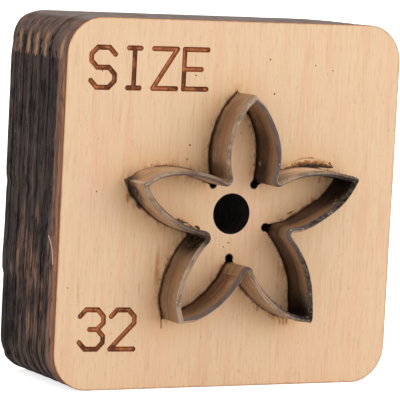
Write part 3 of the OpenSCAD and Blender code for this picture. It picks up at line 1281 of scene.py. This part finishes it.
@dataclass(frozen=True)
class LaserBurn:
    """How far the laser burnt the plies back, in millimetres. Plies are counted from the face."""

    # Burn of every second ply, its even and uneven shares, and the cycles per millimetre of the uneven one
    depth: float = 0.15
    even: float = 0.55
    uneven: float = 0.45
    grain: float = 0.3
    # Waves of the whole cut, hollows in each ply and its fine tooth: depth, cycles per millimetre
    waves: Point = (0.025, 0.11)
    hollows: Point = (0.05, 0.22)
    tooth: Point = (0.02, 1.1)
    # Where the noise of the first ply is read, and the way to that of the next
    first: float = 11.0
    onward: float = 3.7
    # Number of plies at the face that keep a share of their burn
    face_plies: int = 2
    face_share: float = 0.35
    # Points this near to a side belong to it
    side_w: float = 1.0
    # Plies between which the cut of the left side and of the upper left corner become uneven
    left_plies: tuple[int, int] = (4, 8)
    corner_plies: tuple[int, int] = (3, 8)
    # Left side: set-back with the heights where it starts and is full, and a nick, a swelling and a step
    left_back: Point = (0.02, 0.14)
    left_rise: Point = (3.0, 1.0)
    nick: Triple = (0.1, 1.3, 0.5)
    swelling: Triple = (0.16, -8.4, 3.4)
    swelling_end: float = -10.6
    step: float = 0.1
    step_top: float = -10.9
    # Top: set-back that each ply adds behind this one
    top_taper: float = 0.015
    top_ply: int = 8
    # Upper left corner: depth, middle and half width by the angle round it, in degrees
    bulge: Triple = (0.36, 44.0, 23.0)
    pinch: Triple = (0.16, 6.0, 10.0)

    def back(self, board: "DieBoard", ply: int, co: Vector) -> float:
        """Tells how far a ply is burnt back at a point of the outline.

        Args:
            board: Sizes of the board.
            ply: Number of the ply.
            co: The point.

        Returns:
            Millimetres, less than nothing only where the upper left corner bulges.
        """
        place = Vector((co.x, co.y, 0.0))
        own = Vector((co.x, co.y, ply * self.onward + self.first))
        back = self.depth * (self.even + self.uneven * noise.noise(own * self.grain)) if ply % 2 else 0.0
        back += self.waves[0] * (1 + noise.noise(place * self.waves[1]))
        back += self.hollows[0] * max(0.0, noise.noise(own * self.hollows[1]))
        back += self.tooth[0] * (1 + noise.noise(own * self.tooth[1]))
        if co.x < self.side_w - board.w / 2:
            back += self._left_edge(co.y) * share(ply, *self.left_plies)
        if ply < self.face_plies:
            back *= self.face_share
        if co.y > board.h / 2 - self.side_w:
            back += self.top_taper * max(0, ply - self.top_ply) * (1 + co.x / board.w)
        corner = co.xy - Vector((board.corner_r - board.w / 2, board.h / 2 - board.corner_r))
        return max(0.0, back) + self._upper_corner(corner) * share(ply, *self.corner_plies)

    def _upper_corner(self, way: Vector) -> float:
        """Tells how far the rear plies of the upper left corner stand back: pinched below, bulging above.

        Args:
            way: Way from the middle of the corner to the point.

        Returns:
            Millimetres, less than nothing at the bulge.
        """
        if way.x > 0.0:
            return 0.0
        angle = math.degrees(math.atan2(way.y, -way.x))
        return self.pinch[0] * hump(angle, *self.pinch[1:]) - self.bulge[0] * hump(angle, *self.bulge[1:])

    def _left_edge(self, y: float) -> float:
        """Tells how far the rear plies of the left side stand back.

        Args:
            y: Height from the middle of the board.

        Returns:
            Millimetres.
        """
        back = self.left_back[0] + self.left_back[1] * share(y, *self.left_rise)
        back += self.nick[0] * hump(y, *self.nick[1:])
        if y > self.swelling_end:
            back -= self.swelling[0] * hump(y, *self.swelling[1:])
        return back + (self.step if y < self.step_top else 0.0)


@dataclass
class DieBoard:
    """The plywood board: burnt plies on its sides, and the hole, slot, size marks and pores cut into it."""

    flower: FlowerLine
    burn: LaserBurn = LaserBurn()
    w: float = 50.0
    h: float = BOARD_H
    t: float = BOARD_T
    corner_r: float = 5.0
    plies: int = 13
    rim_round: float = 0.05
    # Height and depth of the groove between two plies
    groove_h: float = 0.06
    groove_back: float = 0.03
    side_cuts: int = 89
    corner_cuts: int = 12
    hole_d: float = 5.5
    hole_rise: float = 0.5
    hole_segments: int = 64
    slot_clearance: float = 0.02
    point_burn: float = 0.2
    notch_burn: float = 0.25
    burn_segments: int = 24
    fold_lap: float = 0.04
    bridge_l: float = 5.0
    mark_r: float = 0.42
    mark_depth: float = 0.45
    # Share of the depth by which the ball that cuts a groove stands above the face, and how finely it is cut
    mark_lift: float = 0.55
    ball_segments: tuple[int, int] = (14, 9)
    ball_r: float = 1.02
    marks: tuple[SizeMark, ...] = (
        SizeMark((Glyph.S, Glyph.I, Glyph.Z, Glyph.E), -21.5, 15.35),
        SizeMark((Glyph.THREE, Glyph.TWO), -21.4, -18.95, slope=-0.02),
    )
    pore_depth: float = 0.1
    # Open pores and knots on the face: place, half width, half height
    pores: tuple[tuple[float, float, float, float], ...] = (
        (4.84, 19.48, 0.1, 0.14),
        (5.73, 14.92, 0.13, 0.14),
        (11.83, 18.82, 0.08, 0.12),
        (14.53, 18.2, 0.08, 0.1),
        (-6.58, 7.93, 0.13, 0.15),
        (-6.92, 6.06, 0.09, 0.16),
        (-19.91, 1.77, 0.08, 0.12),
        (-0.82, -5.63, 0.12, 0.09),
        (-0.09, -5.09, 0.13, 0.09),
        (-6.21, 17.18, 0.14, 0.1),
        (-19.88, 17.5, 0.1, 0.1),
        (-23.37, -10.86, 0.09, 0.09),
    )
    # Thin overrun of the laser past two of the points
    overruns: tuple[tuple[Point, Point], ...] = (((-9.55, -15.0), (-9.5, -16.4)), ((0.1, 14.9), (0.08, 15.2)))
    overrun_r: float = 0.09
    overrun_depth: float = 0.3

    def build(self) -> bpy.types.Object:
        """Cuts and dresses the board.

        Returns:
            The board, which stands for its node.
        """
        bm = carve(self._block(), self._cuts())
        materials = (
            FaceWood().material(self.flower, self),
            CharredPly().material(self),
            BurntMark().material(),
            CutChar().material(),
        )
        board = finish_mesh("plywood_board", bm, materials)
        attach(board, "root")
        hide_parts("die_board")
        return board

    def _block(self) -> BMesh:
        """Extrudes the outline ply by ply, each burnt back by its own amount.

        Returns:
            The closed block.
        """
        bm = bmesh.new()
        bmesh.ops.create_grid(bm, x_segments=1, y_segments=1, size=0.5)
        bmesh.ops.scale(bm, vec=(self.w, self.h, 1.0), verts=bm.verts)
        bmesh.ops.translate(bm, vec=(0.0, 0.0, self.t), verts=bm.verts)
        bmesh.ops.bevel(bm, geom=bm.verts[:], offset=self.corner_r, offset_type="OFFSET", profile=0.5,
                        segments=self.corner_cuts, affect="VERTICES", material=-1)
        sides = [edge for edge in bm.edges if edge.calc_length() > self.corner_r]
        bmesh.ops.subdivide_edges(bm, edges=sides, cuts=self.side_cuts)
        for vert in bm.verts:
            self._set_back(vert, self.t, self.burn.back(self, 0, vert.co) + self.rim_round)
        bm.faces.ensure_lookup_table()
        rim = bm.faces[0].edges[:]
        for z, ply, extra in self._levels():
            bmesh.ops.extrude_edge_only(bm, edges=rim)
            rim = [edge for edge in bm.edges if edge.is_boundary]
            for vert in {vert for edge in rim for vert in edge.verts}:
                self._set_back(vert, z, self.burn.back(self, ply, vert.co) + extra)
        bmesh.ops.edgeloop_fill(bm, edges=rim)
        bmesh.ops.recalc_face_normals(bm, faces=bm.faces)
        # Every face between two rings of points has four corners
        for face in bm.faces:
            face.material_index = BoardPart.FACE if len(face.verts) > 4 else BoardPart.SIDE
        return bm

    def _levels(self) -> Iterable[tuple[float, int, float]]:
        """Yields the height, ply and extra set-back of each ring of points, from the face to the back."""
        ply_t = self.t / self.plies
        groove = (self.groove_h / 2, self.groove_back)
        for ply in range(self.plies):
            top = self.t - ply * ply_t
            below, back = (self.rim_round, 0.0) if ply == 0 else groove
            yield top - below, ply, back
            yield top - ply_t / 2, ply, 0.0
            above, back = (self.rim_round, 0.0) if ply == self.plies - 1 else groove
            yield top - ply_t + above, ply, back
        yield 0.0, self.plies - 1, self.rim_round

    def _set_back(self, vert: Vert, z: float, back: float) -> None:
        """Puts a point of the outline at a height, moved in from the outline's own line.

        Args:
            vert: The point.
            z: Its height.
            back: How far it is moved in.
        """
        reach = Vector((self.w / 2 - self.corner_r, self.h / 2 - self.corner_r))
        core = Vector((max(-reach.x, min(reach.x, vert.co.x)), max(-reach.y, min(reach.y, vert.co.y))))
        out = (vert.co.xy - core).normalized()
        vert.co = (*(core + out * (self.corner_r - back)), z)

    def _cuts(self) -> list[BMesh]:
        """Draws everything that is cut out of the block.

        Returns:
            Closed shapes, which overlap in places.
        """
        hole = Vector(self.flower.centre) + Vector((0.0, self.hole_rise))
        cuts = [self._post(hole, self.hole_d / 2, self.hole_segments), *self._slot()]
        for mark in self.marks:
            cuts += [self._stroke(start, end, self.mark_r, self.mark_depth) for start, end in mark.strokes()]
        cuts += [self._stroke(start, end, self.overrun_r, self.overrun_depth) for start, end in self.overruns]
        return cuts + [self._pore(*pore) for pore in self.pores]

    def _pore(self, x: float, y: float, wide: float, high: float) -> BMesh:
        """Draws a round pit in the face.

        Args:
            x: Place across the board.
            y: Place up the board.
            wide: Half its width.
            high: Half its height.

        Returns:
            The closed shape.
        """
        bm = bmesh.new()
        pit = Matrix.Translation((x, y, self.t)) @ Matrix.Diagonal((wide, high, self.pore_depth, 1.0))
        bmesh.ops.create_icosphere(bm, subdivisions=2, radius=1.0, matrix=pit)
        return indexed(bm, BoardPart.MARK)

    def _post(self, place: Vector, radius: float, segments: int) -> BMesh:
        """Draws an upright cylinder that runs through the board.

        Args:
            place: Its middle.
            radius: Its radius.
            segments: Number of its sides.

        Returns:
            The closed shape.
        """
        bm = bmesh.new()
        bmesh.ops.create_cone(bm, cap_ends=True, segments=segments, radius1=radius, radius2=radius,
                              depth=self.t + 2 * OVER, matrix=Matrix.Translation((*place, self.t / 2)))
        return indexed(bm, BoardPart.CHAR)

    def _slot(self) -> list[BMesh]:
        """Draws the slot of one petal after another, with its bridge left standing.

        Returns:
            Closed shapes, which overlap where they meet.
        """
        line = self.flower
        half = line.rule_t / 2 + self.slot_clearance
        notch = line.notch_dir * line.notch_reach(0.0)
        outer_notch = line.notch_dir * line.notch_reach(half)
        posts = (
            (Vector((0.0, line.tip_reach(half))), self.point_burn / 2),
            (notch, half + self.notch_burn / 2),
            (outer_notch, (outer_notch - line.notch_c).length),
        )
        bridge = self.bridge_l / 2 / line.wall_r
        first, last = line.wall_angle(notch), line.past_fold(half)
        spans = (
            (False, first, line.bridge_mid - bridge),
            (False, line.bridge_mid + bridge, last),
            (True, first, last),
        )
        slot = []
        for petal in range(line.petals):
            for spot, radius in posts:
                post = self._post(spot, radius, self.burn_segments)
                slot.append(moved(post, line.petal_matrix(petal)))
            for mirrored, start, end in spans:
                band = line.band(half, -OVER, self.t + OVER, start, end)
                if end == last:
                    bmesh.ops.holes_fill(band, edges=line.fold(band, -self.fold_lap))
                slot.append(moved(indexed(band, BoardPart.CHAR), line.petal_matrix(petal, mirrored)))
        for bm in slot:
            line.stray(bm.verts)
        return slot

    def _stroke(self, start: Point, end: Point, radius: float, depth: float) -> BMesh:
        """Draws a round-ended groove in the face, by stretching a ball.

        Args:
            start: Where the groove starts.
            end: Where it ends.
            radius: Radius of the ball across the groove.
            depth: Radius of the ball into the face.

        Returns:
            The closed shape.
        """
        bm = bmesh.new()
        round_about, upward = self.ball_segments
        bmesh.ops.create_uvsphere(bm, u_segments=round_about, v_segments=upward, radius=self.ball_r)
        way = Vector(end) - Vector(start)
        for vert in bm.verts:
            if vert.co.z > 0:
                vert.co.z += way.length / radius
        along = way.normalized()
        across = Vector((along.y, -along.x))
        axes = ((*across * radius, 0.0), (0.0, 0.0, depth), (*along * radius, 0.0))
        place = Matrix.Translation((*start, self.t + self.mark_lift * depth))
        return indexed(moved(bm, place @ Matrix(axes).transposed().to_4x4()), BoardPart.MARK)


@dataclass
class CuttingRule:
    """The strip of cutting rule: bent round the flower, bevelled, folded at the points and notched."""

    flower: FlowerLine
    h: float = RULE_H
    bevel_angle: float = 54.0
    edge_land: float = 0.04
    joint_petal: int = 2
    joint_l: float = 1.0
    joint_gap: float = 0.06
    bridge_l: float = 5.0
    bridge_clearance: float = 0.1
    # Half width of the tools that cut the notches and the joint
    cut_half: float = 1.0
    fold_half: float = 0.1
    wall_steps: int = 40
    bend_steps: int = 8
    # Heights of the rows of points below the bevel
    rows: tuple[float, ...] = (0.0, 9.0, 17.6, BOARD_T + 0.4, 20.0, 21.5)
    # Ends of the repeated petals that lie closer than this are one
    weld: float = 1e-3
    sharp: float = 24.0
    # Where the strip leans above the board: place, shift of its edge and reach in millimetres
    leans: Strays = (
        ((3.9, 8.0), (0.34, 0.05), 3.5),
        ((11.0, -0.3), (0.15, -0.3), 3.0),
        ((9.6, -12.8), (0.25, -0.05), 2.2),
        ((8.6, -7.0), (0.16, 0.06), 3.5),
        ((16.1, 3.4), (0.0, 0.15), 2.5),
    )
    # Waves of the strip: reach, cycles per millimetre, and the height above the board where they are full
    sway: float = 0.07
    sway_grain: float = 0.23
    sway_full: float = 3.0
    sway_shift: Triple = (9.0, 4.0, 2.0)
    # Nicks in the edge: depth, cycles per millimetre, and the noise above which there is one
    dent: float = 0.12
    dent_grain: float = 1.7
    dent_from: float = 0.25
    dent_shift: Triple = (3.0, 1.0, 0.0)
    # Points this near below the bevel belong to it
    bevel_near: float = 0.01

    def build(self) -> bpy.types.Object:
        """Bends and dresses the strip.

        Returns:
            The rule, which stands for its node.
        """
        bm = carve(self._strip(), self._notches())
        self._measure(bm)
        self._wear(bm)
        self.flower.stray(bm.verts)
        materials = (RuleSteel().material(self), GroundBevel().material(self))
        rule = finish_mesh("bent_rule", bm, materials, self.sharp)
        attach(rule, "root")
        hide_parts("cutting_rule")
        return rule

    @property
    def length(self) -> float:
        """Length of the strip."""
        return 2 * self.flower.petals * self.flower.half_petal

    @property
    def joint_mid(self) -> float:
        """Length of wall from the notch's bend to the middle of the joint."""
        return self.joint_l + self.joint_gap / 2

    def run_on(self, wall: int, from_point: float) -> float:
        """Finds a place on the strip.

        Args:
            wall: Number of the wall, from the joint.
            from_point: Distance from the point at the wall's end.

        Returns:
            Distance from the joint along the strip.
        """
        half = self.flower.half_petal
        run = (wall + 1) * half - from_point if wall % 2 == 0 else wall * half + from_point
        return run - self.flower.notch_mid * self.flower.half_bend - self.joint_mid

    def stops(self, walls: Sequence[Colour], points: Sequence[Colour]) -> list[tuple[float, Colour]]:
        """Places one colour in the middle of each wall and one at each point along the strip.

        Args:
            walls: Colours of the walls, from the joint.
            points: Colours of the points, in the same order.

        Returns:
            Shares of the strip's length, with their colours.
        """
        middle = self.flower.half_petal / 2
        places = [(self.run_on(wall, middle), colour) for wall, colour in enumerate(walls)]
        places += [(self.run_on(2 * petal, 0.0), colour) for petal, colour in enumerate(points)]
        return [(run / self.length, colour) for run, colour in places]

    @property
    def bevel_z(self) -> float:
        """Height at which the bevels start."""
        half = (self.flower.rule_t - self.edge_land) / 2
        return self.h - half / math.tan(math.radians(self.bevel_angle) / 2)

    def _section(self) -> list[Point]:
        """Lists the corners of the strip's section.

        Returns:
            How far out from the middle line each is, and how far up from the back.
        """
        land = self.edge_land / 2
        right = [(self.flower.rule_t / 2, z) for z in (*self.rows, self.bevel_z)]
        return right + [(land, self.h), (-land, self.h)] + [(-out, z) for out, z in reversed(right)]

    def _strip(self) -> BMesh:
        """Bends half a petal from a notch, folds it over at the point, and repeats it round the flower.

        Returns:
            The closed strip, not yet cut.
        """
        line = self.flower
        bm = bmesh.new()
        ring = []
        for out, z in self._section():
            place = line.notch_c - line.notch_dir * (line.notch_mid - out)
            ring.append(bm.verts.new((*place, z)))
        end = [*ring, *(bm.edges.new(pair) for pair in zip(ring, ring[1:] + ring[:1]))]
        end = sweep(bm, end, line.notch_c, -line.half_bend, self.bend_steps)
        sweep(bm, end, line.wall_c, line.past_fold(line.rule_t / 2) - line.wall_start, self.wall_steps)
        fold = line.fold(bm, self.fold_half)
        made = bmesh.ops.duplicate(bm, geom=whole(bm))
        other = [part for part in made["geom"] if isinstance(part, Vert)]
        bmesh.ops.transform(bm, matrix=MIRROR, verts=other)
        bmesh.ops.bridge_loops(bm, edges=[*fold, *(made["edge_map"][edge] for edge in fold)])
        copies = line.petals - 1
        bmesh.ops.spin(bm, geom=whole(bm), cent=(0, 0, 0), axis=(0, 0, 1), angle=copies * line.turn,
                       steps=copies, use_duplicate=True)
        bmesh.ops.remove_doubles(bm, verts=bm.verts, dist=self.weld)
        bmesh.ops.recalc_face_normals(bm, faces=bm.faces)
        for face in bm.faces:
            bevel = face.calc_center_median().z > self.bevel_z
            face.material_index = RulePart.BEVEL if bevel else RulePart.WALL
        return moved(bm, line.petal_matrix(0))

    def _notches(self) -> list[BMesh]:
        """Draws the notches that straddle the bridges, and the gap between the strip's two ends.

        Returns:
            Closed shapes to cut from the strip.
        """
        line = self.flower
        half = (self.bridge_l / 2 + self.bridge_clearance) / line.wall_r
        start, end = line.bridge_mid - half, line.bridge_mid + half
        cuts = []
        for petal in range(line.petals):
            notch = line.band(self.cut_half, -OVER, BOARD_T + self.bridge_clearance, start, end)
            cuts.append(moved(notch, line.petal_matrix(petal)))
        start = line.wall_start + self.joint_l / line.wall_r
        gap = line.band(self.cut_half, -OVER, self.h + OVER, start, start + self.joint_gap / line.wall_r)
        return [*cuts, moved(gap, line.petal_matrix(self.joint_petal, mirrored=True))]

    def _measure(self, bm: BMesh) -> None:
        """Writes each point's place on the strip into the mesh: along it from the joint, and outwards.

        Args:
            bm: The cut strip.
        """
        line = self.flower
        way = spoke(line.wall_start + self.joint_mid / line.wall_r)
        joint = line.petal_matrix(self.joint_petal, mirrored=True) @ (line.wall_c + way * line.wall_r).to_3d()
        start, _ = line.run_at(joint)
        run_layer, out_layer = (bm.verts.layers.float.new(name) for name in ("run", "out"))
        for vert in bm.verts:
            run, vert[out_layer] = line.run_at(vert.co)
            vert[run_layer] = (run - start) % self.length

    def _wear(self, bm: BMesh) -> None:
        """Makes the strip slightly wavy and leaning above the board, and nicks its cutting edge.

        Args:
            bm: The cut strip.
        """
        for vert in bm.verts:
            place = vert.co.copy()
            spot = place * self.sway_grain
            sway = Vector((noise.noise(spot), noise.noise(spot + Vector(self.sway_shift))))
            free = share(place.z, BOARD_T, BOARD_T + self.sway_full)
            rise = max(0.0, (place.z - BOARD_T) / (self.h - BOARD_T))
            vert.co.xy += self.sway * free * sway + rise * self.flower.drift(place.xy, self.leans)
            if place.z > self.bevel_z - self.bevel_near:
                level = noise.noise(place * self.dent_grain + Vector(self.dent_shift))
                vert.co.z -= self.dent * max(0.0, level - self.dent_from)


@dataclass(frozen=True)
class Flake:
    """One torn fibre: where it is rooted, which way it lies, its size, and how far its free end lifts."""

    x: float
    y: float
    turn: float
    length: float
    wide: float
    lift: float
    curl: float


@dataclass
class Splinters:
    """Fibres that the strip tore up when it was pressed in."""

    flakes: tuple[Flake, ...] = (
        Flake(7.3, 4.35, 4, 8.3, 1.5, 0.75, -0.95),
        Flake(9.3, 5.65, 12, 3.2, 0.5, 0.55, -0.2),
        Flake(11.6, 5.95, -8, 3.4, 0.5, 0.6, -0.15),
        Flake(14.7, 5.9, -62, 1.1, 0.4, 0.5, 0.0),
        Flake(-8.2, -1.75, -18, 2.2, 0.5, 0.4, 0.15),
        Flake(-6.4, -2.5, -24, 1.8, 0.4, 0.35, 0.1),
        Flake(7.4, -13.1, -58, 0.8, 0.16, 0.3, 0.0),
        Flake(8.2, -13.5, -56, 0.8, 0.16, 0.25, 0.0),
        Flake(8.4, -1.4, 26, 1.6, 0.3, 0.2, 0.0),
    )
    flake_t: float = 0.09
    flake_segments: tuple[int, int] = (24, 5)
    # How deep the fibres are rooted in the face
    root: float = 0.04
    # Share of the width by which the fibres fray, and the cycles along and across them
    fray: float = 0.1
    fray_grain: Point = (6.0, 3.0)
    # Share of its taper that a fibre has at the root, and the powers that round its taper and its lift
    blunt: float = 0.12
    taper_power: float = 0.5
    lift_power: float = 0.7
    # Share of the lift that all of a fibre has, and the share that frays
    lift_even: float = 0.6
    lift_fray: float = 0.5
    # Way from the noise of one fibre to that of the next
    onward: float = 5.3
    # Pale loose fibre on the left side: middle of its arc, radii, and the angles where it starts and ends
    thread_c: Triple = (-24.93, -7.97, 11.8)
    thread_bend: float = 4.6
    thread_r: float = 0.06
    thread_from: float = 39.0
    thread_to: float = 90.0
    thread_segments: int = 8
    thread_steps: int = 16
    # Level on the fibres' colour scale that only the loose one reaches
    thread_rise: float = 2.0

    def build(self) -> bpy.types.Object:
        """Raises the fibres beside the slot.

        Returns:
            One piece with all the fibres.
        """
        bm = bmesh.new()
        bm.verts.layers.float.new("rise")
        for number, flake in enumerate(self.flakes):
            self._fibre(bm, flake, number)
        self._thread(bm)
        bmesh.ops.recalc_face_normals(bm, faces=bm.faces)
        piece = finish_mesh("torn_fibres", bm, (SplinterWood().material(),))
        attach(piece, "root")
        return piece

    def _thread(self, bm: BMesh) -> None:
        """Spins the loose fibre from a small round section.

        Args:
            bm: The drawing that it is added to.
        """
        rise = bm.verts.layers.float["rise"]
        centre = Vector(self.thread_c)
        start, end = math.radians(self.thread_from), math.radians(self.thread_to)
        tilt = Matrix.Translation(centre) @ Matrix.Rotation(start, 4, "X")
        place = tilt @ Matrix.Translation((0.0, self.thread_bend, 0.0))
        old = set(bm.verts)
        made = bmesh.ops.create_circle(bm, cap_ends=True, segments=self.thread_segments, radius=self.thread_r,
                                       matrix=place)
        ring = made["verts"]
        face = ring[0].link_faces[0]
        sweep(bm, [face, *face.edges, *ring], centre, end - start, self.thread_steps, (1.0, 0.0, 0.0))
        for vert in set(bm.verts) - old:
            vert[rise] = self.thread_rise

    def _fibre(self, bm: BMesh, flake: Flake, number: int) -> None:
        """Tapers, lifts and frays a strip, and gives it thickness.

        Args:
            bm: The drawing that it is added to.
            flake: Its place and size.
            number: Its number, which sets how it frays.
        """
        rise = bm.verts.layers.float["rise"]
        length, width = self.flake_segments
        made = bmesh.ops.create_grid(bm, x_segments=length, y_segments=width, size=0.5)
        for vert in made["verts"]:
            along, across = vert.co.x + 0.5, vert.co.y
            vert[rise] = across + 0.5
            place = Vector((along * self.fray_grain[0], across * self.fray_grain[1], number * self.onward))
            ragged = noise.noise(place)
            taper = math.sin(math.pi * min(1.0, self.blunt + (1 - self.blunt) * along)) ** self.taper_power
            side = flake.wide * (across * taper + self.fray * ragged) + flake.curl * 4 * along * (along - 1)
            lift = flake.lift * math.sin(math.pi * along) ** self.lift_power * (0.5 + across)
            lift *= self.lift_even + self.lift_fray * ragged
            vert.co = (along * flake.length, side, lift - self.root)
        faces = list(dict.fromkeys(face for vert in made["verts"] for face in vert.link_faces))
        shell = bmesh.ops.solidify(bm, geom=faces, thickness=self.flake_t)
        faces += [part for part in shell["geom"] if isinstance(part, Face)]
        verts = dict.fromkeys(vert for face in faces if face.is_valid for vert in face.verts)
        turn = Matrix.Rotation(math.radians(flake.turn), 4, "Z")
        place = Matrix.Translation((flake.x, flake.y, BOARD_T)) @ turn
        bmesh.ops.transform(bm, matrix=place, verts=list(verts))


@dataclass(frozen=True)
class Studio:
    """Pale floor, a soft lamp and the camera. Places are in millimetres."""

    camera_at: Triple = (-183.317, -347.676, 63.197)
    azimuth: float = -27.61
    elevation: float = 5.637
    roll: float = 2.94
    lens: float = 263.1
    sensor: float = 36.0
    clip: Point = (0.01, 20.0)
    floor_size: float = 6.0
    floor_paint: float = 0.86
    floor_rough: float = 0.9
    floor_glow: float = 0.75
    sky: float = 0.84
    white: tuple[float, float, float, float] = (1.0, 1.0, 1.0, 1.0)
    key_watts: float = 1.22
    key_at: Triple = (300.0, -420.0, 60.0)
    key_size: float = 0.45

    def build(self) -> None:
        """Sets the view, the light, the floor and the camera."""
        bpy.context.scene.view_settings.view_transform = "Standard"
        self._sky()
        self._floor()
        self._lamp()
        self._camera()

    @staticmethod
    def _seen(tree: bpy.types.NodeTree) -> Socket:
        """Adds the test for rays that show a surface straight, mirrored or through glass.

        Args:
            tree: The node tree that asks.

        Returns:
            1 for such a ray, and 0 for any other.
        """
        path = tree.nodes.new("ShaderNodeLightPath")
        seen = path.outputs["Is Camera Ray"]
        for name in ("Is Glossy Ray", "Is Transmission Ray"):
            either = tree.nodes.new("ShaderNodeMath")
            either.operation = "MAXIMUM"
            tree.links.new(seen, either.inputs[0])
            tree.links.new(path.outputs[name], either.inputs[1])
            seen = either.outputs[0]
        return seen

    def _sky(self) -> None:
        """Makes a plain world that is white where it is seen."""
        world = bpy.data.worlds.new("studio")
        bpy.context.scene.world = world
        world.use_nodes = True
        tree = world.node_tree
        light = tree.nodes["Background"]
        level = tree.nodes.new("ShaderNodeMapRange")
        tree.links.new(self._seen(tree), level.inputs["Value"])
        level.inputs["To Min"].default_value = self.sky
        tree.links.new(level.outputs[0], light.inputs["Strength"])
        light.inputs["Color"].default_value = self.white

    def _floor(self) -> None:
        """Lays a pale floor that keeps the shadow and is white away from it."""
        bm = bmesh.new()
        bmesh.ops.create_grid(bm, x_segments=1, y_segments=1, size=self.floor_size / 2)
        floor = add_object("floor", to_mesh("floor", bm))
        material = bpy.data.materials.new("floor_paper")
        material.use_nodes = True
        tree = material.node_tree
        shader = tree.nodes["Principled BSDF"]
        shader.inputs["Base Color"].default_value = (self.floor_paint,) * 3 + (1.0,)
        shader.inputs["Roughness"].default_value = self.floor_rough
        shader.inputs["Specular IOR Level"].default_value = 0.0
        shader.inputs["Emission Color"].default_value = self.white
        glow = tree.nodes.new("ShaderNodeMath")
        glow.operation = "MULTIPLY"
        tree.links.new(self._seen(tree), glow.inputs[0])
        glow.inputs[1].default_value = self.floor_glow
        tree.links.new(glow.outputs[0], shader.inputs["Emission Strength"])
        floor.data.materials.append(material)

    def _lamp(self) -> None:
        """Hangs a square soft lamp that looks at the middle of the die."""
        lamp = bpy.data.lights.new("key", "AREA")
        lamp.energy = self.key_watts
        lamp.size = self.key_size
        holder = add_object("key", lamp)
        holder.location = Vector(self.key_at) * MM
        way = Vector((0.0, 0.0, BOARD_H / 2)) * MM - holder.location
        holder.rotation_euler = way.to_track_quat("-Z", "Y").to_euler()

    def _camera(self) -> None:
        """Sets the camera at the photograph's viewing angle."""
        data = bpy.data.cameras.new("camera")
        data.lens = self.lens
        data.sensor_width = self.sensor
        data.clip_start, data.clip_end = self.clip
        camera = add_object("camera", data)
        camera.location = Vector(self.camera_at) * MM
        turn = Matrix.Identity(3)
        for degrees, axis in ((self.azimuth, "Z"), (90.0 - self.elevation, "X"), (self.roll, "Z")):
            turn = turn @ Matrix.Rotation(math.radians(degrees), 3, axis)
        camera.rotation_euler = turn.to_euler()
        bpy.context.scene.camera = camera


def main() -> None:
    """Builds the studio and the pieces in order, and reports each one."""
    logging.basicConfig(level=logging.INFO, format="%(name)s: %(message)s")
    Studio().build()
    flower = FlowerLine()
    for maker in (DieBoard(flower), CuttingRule(flower), Splinters()):
        piece = maker.build()
        log.info("%s: %d faces", piece.name, len(piece.data.polygons))


if __name__ == "__main__":
    main()
